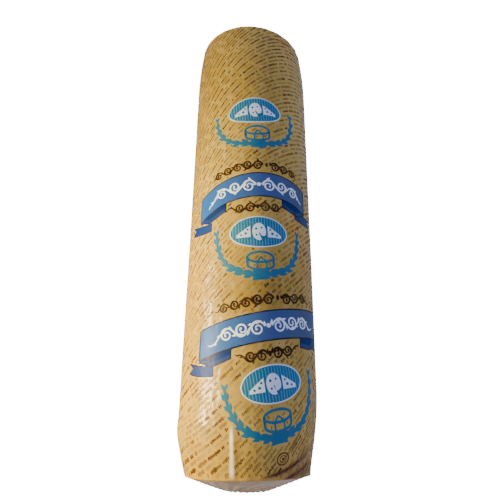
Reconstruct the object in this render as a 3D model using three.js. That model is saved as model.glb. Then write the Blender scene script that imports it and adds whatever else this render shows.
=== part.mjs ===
// A cheese log in a tight film casing, lying on its side.
// Millimetres, +Z up. The log's axis runs along Y, with the near end at -Y and the far end at +Y.
// The origin is on the surface that the log lies on, under the middle of its length.
import * as THREE from 'three';

// Driving dimensions.
const bodyRadius = 55;          // radius of the straight middle
const logLength = 422;          // from the crown of one end to the crown of the other
const capDepth = 10.8;          // how far a crown stands out past its rim
const restHalfWidth = 15;       // half the width of the flat strip it lies on

// The two ends. rimRadius is the rim's size and taperLength the stretch over which the body draws
// in to it. shift moves the rim sideways, slope tilts its plane across X, corner makes it sharper
// at +X than at -X, and gather is how far the film's folds run over it.
const nearEnd = {
  side: -1, rimRadius: 47.8, taperLength: 60, shift: -1.7, slope: 0.017, corner: 1.3, gather: 0.5,
};
const farEnd = {
  side: 1, rimRadius: 51.6, taperLength: 54, shift: -0.3, slope: -0.06, corner: 0, gather: 0.25,
};
const rimRound = 1.4;           // radius of the rounding at a rim
const capFullness = 1.12;       // 1 is a straight cone from crown to rim, more is fuller

// The gathered film at the middle of each end.
const crownRadius = 15.8;       // where the cap stands furthest out
const dimpleDepth = 9;          // from the crown down to the dimple's floor
const floorRadius = 8;          // the dimple's floor
const neckRadius = 4.2;         // the film's narrowest place
const neckDepth = 5.8;          // where that is, below the crown
const tailRadius = 6.4;         // the flared end of the gathered film
const tailSink = 1.6;           // how far the tail stays below the crown
const tailEdge = 1.1;           // the rounding of the tail's edge

// The pleats that the film falls into as it is gathered.
const pleatCount = 24;
const pleatDepth = 0.9;
const endTwist = 0.9;           // radians that the pleats turn from the rim to the neck
const twistPower = 1.5;         // the turning quickens towards the neck

// How uneven the body is, and the low swelling on its left where it starts to taper.
const bodyWander = 0.35;
const swelling = { height: 1.6, angle: -1.45, y: -170, around: 0.7, along: 11 };

// How finely each stretch of the outline is divided.
const segmentsPerPleat = 4;
const taperSteps = 8;
const taperCrowding = 1.7;      // above 1 the steps crowd towards the rim
const rimSteps = 2;
const capSteps = 5;
const bodySteps = 5;

const halfLength = logLength / 2;
const straightHalf = halfLength - capDepth - rimRound;
const axisHeight = Math.sqrt(bodyRadius ** 2 - restHalfWidth ** 2);

// Outline points are pairs: the distance from the axis, and the depth below the crown of the end.
function tailOutline() {
  return [
    [0, tailSink + tailEdge],
    [tailRadius - tailEdge, tailSink],
    [tailRadius, tailSink + tailEdge],
    [neckRadius, neckDepth],
  ];
}

function dimpleOutline() {
  const wallLean = crownRadius - floorRadius;
  return [
    [(neckRadius + floorRadius) / 2, dimpleDepth],
    [floorRadius, dimpleDepth],
    [floorRadius + wallLean * 0.4, dimpleDepth * 0.6],
    [floorRadius + wallLean * 0.7, dimpleDepth * 0.2],
  ];
}

function capOutline(end) {
  const reach = end.rimRadius - rimRound - crownRadius;
  const points = [];
  for (let step = 0; step < capSteps; step += 1) {
    const part = step / (capSteps - 1);
    points.push([crownRadius + reach * part, capDepth * part ** capFullness]);
  }
  return points;
}

// A quarter round from the cap's edge to the start of the taper.
function rimOutline(end) {
  const points = [];
  for (let step = 1; step <= rimSteps; step += 1) {
    const turn = (step / rimSteps) * (Math.PI / 2);
    const radius = end.rimRadius - rimRound * (1 - Math.sin(turn));
    points.push([radius, capDepth + rimRound * (1 - Math.cos(turn))]);
  }
  return points;
}

// The body draws in towards the rim along a parabola.
function taperOutline(end) {
  const points = [];
  for (let step = 1; step <= taperSteps; step += 1) {
    const away = (step / taperSteps) ** taperCrowding;
    const radius = bodyRadius - (bodyRadius - end.rimRadius) * (1 - away) ** 2;
    points.push([radius, capDepth + rimRound + end.taperLength * away]);
  }
  return points;
}

function endOutline(end) {
  const pairs = [
    ...tailOutline(),
    ...dimpleOutline(),
    ...capOutline(end),
    ...rimOutline(end),
    ...taperOutline(end),
  ];
  return pairs.map(([radius, depth]) => new THREE.Vector2(radius, end.side * (halfLength - depth)));
}

function bodyOutline() {
  const from = -(straightHalf - nearEnd.taperLength);
  const to = straightHalf - farEnd.taperLength;
  const points = [];
  for (let step = 1; step < bodySteps; step += 1) {
    points.push(new THREE.Vector2(bodyRadius, from + (to - from) * (step / bodySteps)));
  }
  return points;
}

// 0 where the body starts to taper and 1 from the rim inwards.
function taperPart(y, end) {
  const start = straightHalf - end.taperLength;
  return THREE.MathUtils.clamp((Math.abs(y) - start) / end.taperLength, 0, 1);
}

// 0 at the rim and 1 at the neck.
function gatheredPart(radius, end) {
  return THREE.MathUtils.clamp((end.rimRadius - radius) / (end.rimRadius - neckRadius), 0, 1);
}

// Pleats start shallow at the rim, are deepest half way in, and close up at the neck.
function pleatSink(angle, gathered) {
  const ridge = Math.cos(angle * pleatCount);
  const uneven = 0.75 + 0.25 * Math.sin(angle * 5 + 1);
  const swell = Math.sin(gathered * Math.PI);
  return pleatDepth * swell * (1 - swell * ridge * uneven);
}

// The same pleats just outside the rim, more of them at +X, fading within a few millimetres.
function gatherHeight(angle, tapered, end) {
  const sided = 0.4 + 0.6 * Math.max(Math.sin(angle), 0);
  return end.gather * sided * Math.cos(angle * pleatCount) * tapered ** 14;
}

// Long shallow waves along and around the straight body, none where it rests.
function bodyWaver(angle, y, tapered) {
  const along = Math.sin(y / 47 + 2 * Math.sin(angle));
  const around = Math.cos(3 * angle + y / 90);
  const fade = (1 - tapered) * (1 + Math.cos(angle)) / 2;
  return bodyWander * fade * (0.6 * along + 0.4 * around - 1);
}

function swellingHeight(angle, y) {
  const across = (angle - swelling.angle) / swelling.around;
  const along = (y - swelling.y) / swelling.along;
  return swelling.height * Math.exp(-across * across - along * along);
}

function cornerHeight(angle, tapered, end) {
  return end.corner * Math.sin(angle) * tapered ** 8;
}

// How far the side of the log stands off the turned outline.
function sideRelief(angle, y, end) {
  const tapered = taperPart(y, end);
  return bodyWaver(angle, y, tapered)
    + swellingHeight(angle, y)
    + gatherHeight(angle, tapered, end)
    + cornerHeight(angle, tapered, end);
}

// Moves one point of the turned shape to its place on the uneven, pleated log.
function settle(point) {
  const end = point.y < 0 ? nearEnd : farEnd;
  const radius = Math.hypot(point.x, point.z);
  const angle = Math.atan2(point.x, point.z);
  const gathered = Math.abs(point.y) > straightHalf ? gatheredPart(radius, end) : 0;
  const tapered = taperPart(point.y, end);
  const turned = angle + end.side * endTwist * gathered ** twistPower;

  const relief = sideRelief(angle, point.y, end) * (1 - gathered) ** 4;
  const x = (radius + relief) * Math.sin(turned) + end.shift * tapered * (1 - gathered);
  const z = (radius + relief) * Math.cos(turned);
  const y = point.y + end.slope * x * tapered - end.side * pleatSink(angle, gathered);
  point.set(x, y, Math.max(z, -axisHeight) + axisHeight);
}

function cheeseLogShape() {
  const outline = [...endOutline(nearEnd), ...bodyOutline(), ...endOutline(farEnd).reverse()];
  const shape = new THREE.LatheGeometry(outline, pleatCount * segmentsPerPleat);
  const places = shape.attributes.position;
  const point = new THREE.Vector3();
  for (let index = 0; index < places.count; index += 1) {
    point.fromBufferAttribute(places, index);
    settle(point);
    places.setXYZ(index, point.x, point.y, point.z);
  }
  shape.computeVertexNormals();
  return shape;
}

function filmMaterial() {
  return new THREE.MeshStandardMaterial({ color: 0xc79a55, roughness: 0.32, metalness: 0 });
}

function cheeseLog() {
  const log = new THREE.Mesh(cheeseLogShape(), filmMaterial());
  log.name = 'cheese_log';
  return log;
}

const packedCheese = new THREE.Group();
packedCheese.add(cheeseLog());

export default packedCheese;
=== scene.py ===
import math

import bmesh
import bpy
import numpy as np
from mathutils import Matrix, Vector


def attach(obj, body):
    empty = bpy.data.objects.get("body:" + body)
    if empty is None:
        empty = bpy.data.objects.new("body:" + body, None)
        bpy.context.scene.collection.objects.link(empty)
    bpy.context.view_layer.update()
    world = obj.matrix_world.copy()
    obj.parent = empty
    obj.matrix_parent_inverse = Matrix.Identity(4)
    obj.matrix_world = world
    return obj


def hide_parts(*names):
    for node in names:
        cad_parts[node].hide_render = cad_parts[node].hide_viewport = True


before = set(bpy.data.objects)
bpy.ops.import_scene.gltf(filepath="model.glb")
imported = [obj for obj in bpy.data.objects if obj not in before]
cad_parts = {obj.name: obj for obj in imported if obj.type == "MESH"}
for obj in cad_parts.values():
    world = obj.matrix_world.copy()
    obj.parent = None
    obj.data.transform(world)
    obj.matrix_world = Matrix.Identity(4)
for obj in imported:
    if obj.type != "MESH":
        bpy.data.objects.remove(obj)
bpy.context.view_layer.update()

# Shapes are worked out in millimetres, in the frame's own axes, and made metres last.
metre = 0.001

# The log's form, the same one that the CAD solid has.
logForm = {
    "bodyRadius": 55.0,
    "logLength": 422.0,
    "capDepth": 10.8,
    "restHalfWidth": 15.0,
    "rimRound": 1.4,
    "capFullness": 1.12,
    "crownRadius": 15.8,
    "crownStep": 1.6,
    "crownFall": 0.35,
    "dimpleDepth": 9.0,
    "floorRadius": 8.0,
    "neckRadius": 4.2,
    "neckDepth": 5.8,
    "tailRadius": 6.4,
    "tailSink": 1.6,
    "tailEdge": 1.1,
    "pleatCount": 24,
    "pleatDepth": 0.9,
    "endTwist": 0.9,
    "twistPower": 1.5,
}
nearEnd = {"side": -1, "rimRadius": 47.8, "taperLength": 60.0, "shift": -1.7, "slope": 0.017,
           "corner": 1.3, "gather": 0.5}
farEnd = {"side": 1, "rimRadius": 51.6, "taperLength": 54.0, "shift": -0.3, "slope": -0.06,
          "corner": 0.0, "gather": 0.25}
swelling = {"height": 1.6, "angle": -1.45, "y": -170.0, "around": 0.7, "along": 11.0}
wander = {"height": 0.35, "length": 47.0, "sway": 2, "around": 3, "lean": 90.0, "alongShare": 0.6}
# how late towards the rim its pleats and its corner rise, and how much of the pleats only one side has
rimEase = {"gather": 14, "corner": 8, "sideShare": 0.6}

halfLength = logForm["logLength"] / 2
straightHalf = halfLength - logForm["capDepth"] - logForm["rimRound"]
bodyRadius = logForm["bodyRadius"]
axisHeight = math.sqrt(bodyRadius ** 2 - logForm["restHalfWidth"] ** 2)

# What only the casing has: dents, fine puckers on the caps, and a surface that is finer on top.
casing = {
    "around": 288,
    "crowding": 0.3,
    "crowdedAt": 0.15,
    "bodyStep": 3.0,
    "taperSteps": 36,
    "taperEase": 1.4,
    "capSteps": 44,
    "rimSteps": 6,
    "dentHeight": 0.14,
    "rollingShare": 0.7,
    "smallShare": 0.3,
    "rimCalm": 0.7,
    "puckerHeight": 0.14,
    "puckerCount": 48,
    "puckerSway": (2, 7),    # how far, and turns
    "pleatShare": 0.5,
    "unevenness": (0.25, 5, 1),    # share, turns and start
    "spiralHeight": 0.15,
    "spiralPitch": 3.4,
    "spiralArms": 5,
    "spiralSway": (1.5, 3, 5),    # how far, turns and length
    "puckersFrom": 8,
    "puckersTo": 5,
    "bareFrom": 26,
    "reliefFade": 4,
    "restLift": 0.12,
    "crispAngle": 80,
}
# The waves of the dents: length along, turns around, sway, turns of the sway, and start.
rollingWaves = ((11.3, 0, 3.1, 2, 0), (23, 3.7, 0, 0, 0))
smallWaves = ((6.1, 7, 0, 0, 0), (17, -5, 0, 0, 1.3))

# Folds in the casing, each bent through three places (around, along) on its side, with a height, a width and
# how much shade is painted along it.
folds = [
    {"way": [(-10.4, -164.0), (-9.0, -184.0), (-8.6, -202.0)], "height": 0.7, "width": 2.6, "shade": 0.0},
    {"way": [(46.5, -160.0), (42.0, -176.0), (23.0, -193.0)], "height": 0.3, "width": 0.8, "shade": 0.75},
    {"way": [(8.0, -199.0), (32.0, -195.0), (58.0, -184.0)], "height": 0.5, "width": 0.9, "shade": 1.0},
    {"way": [(18.0, -198.0), (38.0, -193.5), (60.0, -180.5)], "height": 0.45, "width": 0.8, "shade": 0.9},
    {"way": [(28.0, -195.5), (42.0, -190.0), (60.0, -177.0)], "height": 0.4, "width": 0.8, "shade": 0.7},
    {"way": [(31.0, -200.0), (46.0, -196.0), (64.0, -189.0)], "height": 0.45, "width": 0.9, "shade": 1.0},
    {"way": [(16.0, 186.0), (28.0, 189.5), (44.0, 190.0)], "height": 0.3, "width": 0.9, "shade": 0.9},
    {"way": [(-36.0, 179.0), (-8.0, 177.5), (24.0, 181.0)], "height": 0.25, "width": 1.6, "shade": 0.15},
]
foldReach = {"around": 60, "along": 40, "steps": 60, "endEase": 0.6}
# A painted highlight: a white streak beside the first fold.
streakHighlight = {
    "way": [(-11.4, -165.0), (-10.6, -182.0), (-10.4, -201.0)],
    "narrow": 1.0,
    "wide": 1.7,
    "softEdge": 1.7,
    "strength": 0.9,
    "weakening": 0.35,
    "ends": 5,
    "reach": 9,
    "reachFade": 3,
    "bare": 0.35,
}
# Painted shade: the film is drawn darker at this bunched corner of the near rim.
cornerShade = {"around": 48.0, "along": -198.0, "wide": 22.0, "tall": 10.0, "shade": 0.6}


def clamp01(values):
    return np.clip(values, 0.0, 1.0)


def smooth01(values):
    part = clamp01(values)
    return part * part * (3 - 2 * part)


# 0 at both ends of a stretch and 1 between them
def between(part, start, end):
    return smooth01(part * start) * smooth01((1 - part) * end)


def perEnd(y, key):
    return np.where(y < 0, nearEnd[key], farEnd[key])


# 0 where the body starts to taper and 1 from the rim inwards
def taperPart(y):
    length = perEnd(y, "taperLength")
    return clamp01((np.abs(y) - (straightHalf - length)) / length)


def sideRadius(y):
    return bodyRadius - (bodyRadius - perEnd(y, "rimRadius")) * taperPart(y) ** 2


def bentLine(way, count):
    start, middle, end = (np.array(p, float) for p in way)
    part = np.linspace(0, 1, count)[:, None]
    return start * (1 - part) ** 2 + middle * 2 * part * (1 - part) + end * part ** 2


def foldStrength(angle, y, what):
    around = angle * bodyRadius
    total = np.zeros_like(angle)
    steps = foldReach["steps"]
    for fold in folds:
        middle = fold["way"][1]
        near = np.abs(around - middle[0]) < foldReach["around"]
        near &= np.abs(y - middle[1]) < foldReach["along"]
        if not near.any():
            continue
        line = bentLine(fold["way"], steps)
        distance = np.hypot(around[near][:, None] - line[:, 0], y[near][:, None] - line[:, 1])
        nearest = distance.argmin(1)
        span = np.sin(np.pi * (nearest + 1) / (steps + 1)) ** foldReach["endEase"]
        total[near] += np.exp(-(distance.min(1) / fold["width"]) ** 2) * span * fold[what]
    return total


def bunchedShade(angle, y):
    across = (angle * bodyRadius - cornerShade["around"]) / cornerShade["wide"]
    along = (y - cornerShade["along"]) / cornerShade["tall"]
    return cornerShade["shade"] * np.exp(-across ** 2 - along ** 2)


# Where the painted highlight may show. The material draws the narrow white streak inside this wider area.
def streakHighlightMask(angle, y):
    around = angle * bodyRadius
    line = bentLine(streakHighlight["way"], foldReach["steps"])
    away = np.abs(around - np.interp(y, line[::-1, 1], line[::-1, 0]))
    part = clamp01((line[0, 1] - y) / (line[0, 1] - line[-1, 1]))
    ends = between(part, streakHighlight["ends"], streakHighlight["ends"]) * (1 - streakHighlight["weakening"] * part)
    return streakHighlight["strength"] * smooth01((streakHighlight["reach"] - away) / streakHighlight["reachFade"]) * ends


def sideRelief(angle, y):
    tapered = taperPart(y)
    fade = (1 - tapered) * (1 + np.cos(angle)) / 2
    along = np.sin(y / wander["length"] + wander["sway"] * np.sin(angle))
    aroundWave = np.cos(wander["around"] * angle + y / wander["lean"])
    share = wander["alongShare"]
    waver = wander["height"] * fade * (share * along + (1 - share) * aroundWave - 1)
    acrossPart = (angle - swelling["angle"]) / swelling["around"]
    alongPart = (y - swelling["y"]) / swelling["along"]
    swell = swelling["height"] * np.exp(-acrossPart ** 2 - alongPart ** 2)
    sided = 1 - rimEase["sideShare"] + rimEase["sideShare"] * np.maximum(np.sin(angle), 0)
    pleats = np.cos(angle * logForm["pleatCount"])
    gather = perEnd(y, "gather") * sided * pleats * tapered ** rimEase["gather"]
    corner = perEnd(y, "corner") * np.sin(angle) * tapered ** rimEase["corner"]
    return waver + swell + gather + corner + foldStrength(angle, y, "height")


def wave(angle, y, length, turns, sway, swayTurns, start):
    return np.sin(y / length + turns * angle + sway * np.sin(swayTurns * angle) + start)


def dents(angle, y):
    rolling, small = (wave(angle, y, *one) * wave(angle, y, *two)
                      for one, two in (rollingWaves, smallWaves))
    fade = (1 + np.cos(angle)) / 2 * (1 - casing["rimCalm"] * taperPart(y) ** 2)
    return casing["dentHeight"] * fade * (casing["rollingShare"] * rolling + casing["smallShare"] * small)


# A point of the log's side in millimetres: angle 0 is the top, and grows towards +X.
def sidePoint(angle, y):
    radius = sideRadius(y) + sideRelief(angle, y) + dents(angle, y)
    tapered = taperPart(y)
    x = radius * np.sin(angle) + perEnd(y, "shift") * tapered
    z = np.maximum(radius * np.cos(angle), casing["restLift"] - axisHeight) + axisHeight
    return np.stack([x, y + perEnd(y, "slope") * x * tapered, z], -1)


# a place on the side in metres, from millimetres around and along
def sidePlace(around, along):
    return sidePoint(np.array([around / bodyRadius]), np.array([along]))[0] * metre


def sideNormal(angle, y):
    step = 0.2
    turn = step / bodyRadius
    acrossWay = sidePoint(angle + turn, y) - sidePoint(angle - turn, y)
    alongWay = sidePoint(angle, y + step) - sidePoint(angle, y - step)
    normal = np.cross(acrossWay, alongWay)
    return normal / np.linalg.norm(normal, axis=-1, keepdims=True)


# cuts the corners of an outline, and keeps its two ends
def softened(points, rounds):
    for _ in range(rounds):
        start, end = points[:-1], points[1:]
        cut = np.stack([start * 0.75 + end * 0.25, start * 0.25 + end * 0.75], 1).reshape(-1, 2)
        points = np.concatenate([points[:1], cut[1:-1], points[-1:]])
    return points


# The outline of one end, from its middle out: distance from the axis, and depth below the crown.
def endOutline(end):
    form = logForm
    crown, floor, deep = form["crownRadius"], form["floorRadius"], form["dimpleDepth"]
    lean = crown - floor
    rim, rounding = end["rimRadius"], form["rimRound"]
    middle = softened(np.array([
        [0.0, form["tailSink"] + form["tailEdge"]],
        [form["tailRadius"] - form["tailEdge"], form["tailSink"]],
        [form["tailRadius"], form["tailSink"] + form["tailEdge"]],
        [form["neckRadius"], form["neckDepth"]],
        [(form["neckRadius"] + floor) / 2, deep],
        [floor, deep],
        [floor + lean * 0.4, deep * 0.6],
        [floor + lean * 0.7, deep * 0.2],
        [crown, 0.0],
        [crown + form["crownStep"], form["crownFall"]],
    ]), 2)
    reach = rim - rounding - crown
    part = np.linspace(form["crownStep"] / reach, 1, casing["capSteps"])[1:]
    cap = np.stack([crown + reach * part, form["capDepth"] * part ** form["capFullness"]], 1)
    turn = np.linspace(0, math.pi / 2, casing["rimSteps"] + 1)[1:]
    edge = np.stack([rim - rounding * (1 - np.sin(turn)),
                     form["capDepth"] + rounding * (1 - np.cos(turn))], 1)
    away = np.linspace(0, 1, casing["taperSteps"] + 1)[1:] ** casing["taperEase"]
    taper = np.stack([bodyRadius - (bodyRadius - rim) * (1 - away) ** 2,
                      form["capDepth"] + rounding + end["taperLength"] * away], 1)
    whole = np.concatenate([middle, cap, edge, taper])
    return np.stack([whole[:, 0], end["side"] * (halfLength - whole[:, 1])], 1)


def casingOutline():
    nearStop = -(straightHalf - nearEnd["taperLength"])
    farStop = straightHalf - farEnd["taperLength"]
    rings = int((farStop - nearStop) / casing["bodyStep"])
    ys = np.linspace(nearStop, farStop, rings + 1)[1:-1]
    body = np.stack([np.full_like(ys, bodyRadius), ys], 1)
    return np.concatenate([endOutline(nearEnd), body, endOutline(farEnd)[::-1]])


def spiralWave(angle, radius, side):
    sway, turns, length = casing["spiralSway"]
    return np.sin(side * casing["spiralArms"] * angle + radius * 2 * np.pi / casing["spiralPitch"]
                  + sway * np.sin(turns * angle + radius / length))


# How far the film sinks inwards between its pleats, with the finer puckers of thin film.
def capSink(angle, radius, gathered, side):
    swell = np.sin(gathered * np.pi)
    share, turns, start = casing["unevenness"]
    uneven = 1 - share + share * np.sin(angle * turns + start)
    sharp = swell * np.cos(angle * logForm["pleatCount"]) * uneven * casing["pleatShare"]
    sink = logForm["pleatDepth"] * swell * (1 - sharp)
    sway, swayTurns = casing["puckerSway"]
    puckers = np.cos(angle * casing["puckerCount"] + sway * np.sin(swayTurns * angle))
    pucker = casing["puckerHeight"] * swell * puckers
    inside = between(gathered, casing["puckersFrom"], casing["puckersTo"])
    return sink - inside * (pucker + casing["spiralHeight"] * spiralWave(angle, radius, side))


def casingPoints(outline):
    count = casing["around"]
    angles = np.arange(count) * 2 * np.pi / count
    angles = angles - casing["crowding"] * np.sin(angles - casing["crowdedAt"])
    angles = np.where(angles > np.pi, angles - 2 * np.pi, angles)
    radius = np.repeat(outline[1:-1, :1], count, 1)
    y = np.repeat(outline[1:-1, 1:], count, 1)
    angle = np.broadcast_to(angles, radius.shape).copy()
    rim, side, tapered = perEnd(y, "rimRadius"), perEnd(y, "side"), taperPart(y)
    inCap = np.abs(y) > straightHalf
    gathered = np.where(inCap, clamp01((rim - radius) / (rim - logForm["neckRadius"])), 0)
    turned = angle + side * logForm["endTwist"] * gathered ** logForm["twistPower"]
    relief = (sideRelief(angle, y) + dents(angle, y)) * (1 - gathered) ** casing["reliefFade"]
    x = (radius + relief) * np.sin(turned) + perEnd(y, "shift") * tapered * (1 - gathered)
    z = (radius + relief) * np.cos(turned)
    sink = np.where(inCap, capSink(angle, radius, gathered, side), 0)
    points = np.stack([x, y + perEnd(y, "slope") * x * tapered - side * sink,
                       np.maximum(z, casing["restLift"] - axisHeight) + axisHeight], -1)
    marks = {
        "bareFilm": np.where(inCap, smooth01(gathered * casing["bareFrom"]), 0),
        # painted shade in the folds and at the bunched corner
        "foldShade": clamp01(foldStrength(angle, y, "shade") + bunchedShade(angle, y)),
        # the mask of the painted highlight streak
        "streakHighlightMask": np.where(inCap, 0, streakHighlightMask(angle, y)),
        # where the painted sheen streaks lie on the bare cap film
        "capSheenStreak": np.where(inCap, 0.5 + 0.5 * spiralWave(angle, radius, side), 0.5),
    }
    return points, marks


def linkedObject(name, data):
    thing = bpy.data.objects.new(name, data)
    bpy.context.scene.collection.objects.link(thing)
    return thing


def meshObject(name, verts, faces, material=None, edges=()):
    mesh = bpy.data.meshes.new(name)
    mesh.from_pydata(np.asarray(verts).tolist(), list(edges), faces)
    if material:
        mesh.materials.append(material)
    return linkedObject(name, mesh)


def closeAndSmooth(piece, crispAngle):
    work = bmesh.new()
    work.from_mesh(piece.data)
    bmesh.ops.remove_doubles(work, verts=work.verts, dist=1e-7)
    bmesh.ops.recalc_face_normals(work, faces=work.faces)
    for face in work.faces:
        face.smooth = True
    work.to_mesh(piece.data)
    work.free()
    piece.data.set_sharp_from_angle(angle=math.radians(crispAngle))


def rideAndReplace(piece):
    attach(piece, "root")
    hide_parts("cheese_log")


# Colours

def linear(red, green, blue):
    def one(value):
        value /= 255
        return value / 12.92 if value <= 0.04045 else ((value + 0.055) / 1.055) ** 2.4
    return (one(red), one(green), one(blue), 1.0)


# short forms for making trees of nodes
class NodeMaker:
    def __init__(self, tree):
        self.tree = tree

    # joins a socket, or sets a plain value
    def join(self, source, target):
        if isinstance(source, bpy.types.NodeSocket):
            self.tree.links.new(source, target)
        else:
            target.default_value = source

    def node(self, kind, *inputs, **settings):
        node = self.tree.nodes.new(kind)
        for key, value in settings.items():
            setattr(node, key, value)
        for socket, value in inputs:
            self.join(value, node.inputs[socket])
        return node

    def math(self, operation, *values):
        return self.node("ShaderNodeMath", *enumerate(values), operation=operation).outputs[0]

    def plus(self, first, second):
        return self.math("ADD", first, second)

    def minus(self, first, second):
        return self.math("SUBTRACT", first, second)

    def over(self, first, second):
        return self.math("DIVIDE", first, second)

    def times(self, first, *others):
        for other in others:
            first = self.math("MULTIPLY", first, other)
        return first

    def clamped(self, value, low, high):
        return self.math("MINIMUM", self.math("MAXIMUM", value, low), high)

    def vector(self, x, y, z):
        return self.node("ShaderNodeCombineXYZ", (0, x), (1, y), (2, z)).outputs[0]

    def apart(self, vector):
        return self.node("ShaderNodeSeparateXYZ", (0, vector)).outputs

    def place(self, kind="Object"):
        return self.node("ShaderNodeTexCoord").outputs[kind]

    def placeAlong(self, toward):
        return self.node("ShaderNodeVectorMath", (0, self.place()), (1, toward),
                         operation="DOT_PRODUCT").outputs["Value"]

    def marked(self, name):
        return self.node("ShaderNodeAttribute", attribute_name=name).outputs["Fac"]

    def noise(self, scale, detail, stretch):
        stretchedPlace = self.node("ShaderNodeMapping", ("Vector", self.place()), ("Scale", stretch))
        return self.node("ShaderNodeTexNoise", ("Vector", stretchedPlace.outputs["Vector"]),
                         ("Scale", scale), ("Detail", detail)).outputs["Fac"]

    def spread(self, value, low, high, toLow, toHigh, kind="LINEAR"):
        return self.node("ShaderNodeMapRange", ("Value", value), ("From Min", low), ("From Max", high),
                         ("To Min", toLow), ("To Max", toHigh), interpolation_type=kind).outputs["Result"]

    def patches(self, scale, detail, stretch, *limits):
        return self.spread(self.noise(scale, detail, stretch), *limits)

    def blend(self, factor, first, second):
        return self.node("ShaderNodeMix", (0, factor), (6, first), (7, second), data_type="RGBA").outputs[2]


def newMaterial(name):
    material = bpy.data.materials.new(name)
    material.use_nodes = True
    maker = NodeMaker(material.node_tree)
    shader = next(node for node in maker.tree.nodes if node.type == "BSDF_PRINCIPLED")
    return material, maker, shader


# Uneven patches: scale, detail and stretch, then where they start and are full, and how strong they are
# there.
filmPatches = {
    "rough": (26, 3, (1, 0.5, 1), 0.35, 0.65, 0.42, 0.6),
    "broad": (9, 3, (1, 0.7, 1), 0.35, 0.65, 0, 1),
    "warm": (14, 2, (1.3, 0.4, 1), 0.46, 0.68, 0, 0.75),
    "fine": (190, 4, (1, 0.55, 1), 0.5, 0.8, 0, 0.5),
    # patches that break up the painted highlight streak
    "streakHighlightStrength": (130, 2, (1, 0.5, 1), 0.35, 0.6, 0.55, 1),
    # patches that break up the painted sheen on the bare film
    "sheenBreakup": (160, 3, (0.5, 1.6, 1.6), 0.36, 0.7, 0.15, 0.9),
    "cloudy": (60, 3, (0.55, 1, 1.5), 0.4, 0.68, 0, 0.5),
}
# The gloss that the bare casing and everything printed on it share.
filmFinish = {
    "Specular IOR Level": 0.05,
    "Coat Roughness": 0.15,
    "Coat IOR": 1.45,
}
filmCoat = 0.24
inkCoat = 0.015
crinkle = {"strength": 0.85, "distance": 0.004, "noise": (36, 5, (1.3, 0.75, 1.2))}


def glossyMaterial(name, coat):
    material, maker, shader = newMaterial(name)
    shader.inputs["Coat Weight"].default_value = coat
    for socket, value in filmFinish.items():
        shader.inputs[socket].default_value = value
    maker.join(maker.patches(*filmPatches["rough"]), shader.inputs["Roughness"])
    bump = maker.node("ShaderNodeBump", ("Strength", crinkle["strength"]), ("Distance", crinkle["distance"]),
                      ("Height", maker.noise(*crinkle["noise"])))
    maker.join(bump.outputs["Normal"], shader.inputs["Coat Normal"])
    return material, maker, shader


casingColours = {
    "deep": linear(162, 127, 46),
    "light": linear(188, 158, 74),
    "warm": linear(190, 136, 58),
    "gold": linear(188, 140, 30),
    "pale": linear(206, 176, 112),
    "film": linear(178, 134, 70),
    # painted sheen on the bare film
    "paintedFilmSheen": linear(246, 222, 170),
    "filmPale": linear(216, 186, 138),
    # the colour of the painted shade in the folds
    "foldShade": linear(84, 38, 24),
    # the colour of the painted highlight streak
    "streakHighlight": linear(250, 242, 228),
}
# Painted light: the casing turns to gold towards its lit left and near side, along this direction, while the
# place along it goes from one value to the other.
litSideGold = {"toward": (-10, -5.5, 0), "from": 0.8, "to": 1.5, "strength": 0.8}


def casingMaterial():
    material, maker, shader = glossyMaterial("printedCasing", filmCoat)
    layers = [(maker.patches(*filmPatches[key]), colourName)
              for key, colourName in (("broad", "light"), ("warm", "warm"), ("fine", "pale"))]
    # painted light: gold laid on the lit side
    litGold = maker.spread(maker.placeAlong(litSideGold["toward"]), litSideGold["from"], litSideGold["to"],
                          0, litSideGold["strength"])
    layers.append((litGold, "gold"))
    layers.append((maker.marked("foldShade"), "foldShade"))
    # painted highlight: the white streak beside the first fold, broken up by patches
    streakHighlightStrength = maker.times(acrossStreak(maker), maker.marked("streakHighlightMask"),
                           maker.patches(*filmPatches["streakHighlightStrength"]))
    layers.append((streakHighlightStrength, "streakHighlight"))
    colour = casingColours["deep"]
    for strength, colourName in layers:
        colour = maker.blend(strength, colour, casingColours[colourName])

    # painted sheen: lighter streaks along the cap's spiral puckers, broken into patches
    streak = maker.times(maker.patches(*filmPatches["sheenBreakup"]), maker.marked("capSheenStreak"))
    bare = maker.blend(streak, casingColours["film"], casingColours["paintedFilmSheen"])
    bare = maker.blend(maker.patches(*filmPatches["cloudy"]), bare, casingColours["filmPale"])
    maker.join(maker.blend(maker.marked("bareFilm"), colour, bare), shader.inputs["Base Color"])
    return material


# how strong the painted highlight is across the streak, whose middle leans a little with the fold
def acrossStreak(maker):
    (farX, farY, _), (nearX, nearY, _) = (sidePlace(*streakHighlight["way"][k]) for k in (0, 2))
    x, y, _ = maker.apart(maker.place())
    middle = maker.spread(y, nearY, farY, nearX, farX)
    width = maker.spread(y, nearY, farY, streakHighlight["wide"] * metre, streakHighlight["narrow"] * metre)
    part = maker.over(maker.math("ABSOLUTE", maker.minus(x, middle)), width)
    return maker.spread(part, 0, streakHighlight["softEdge"], 1, 0, "SMOOTHSTEP")


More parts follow.
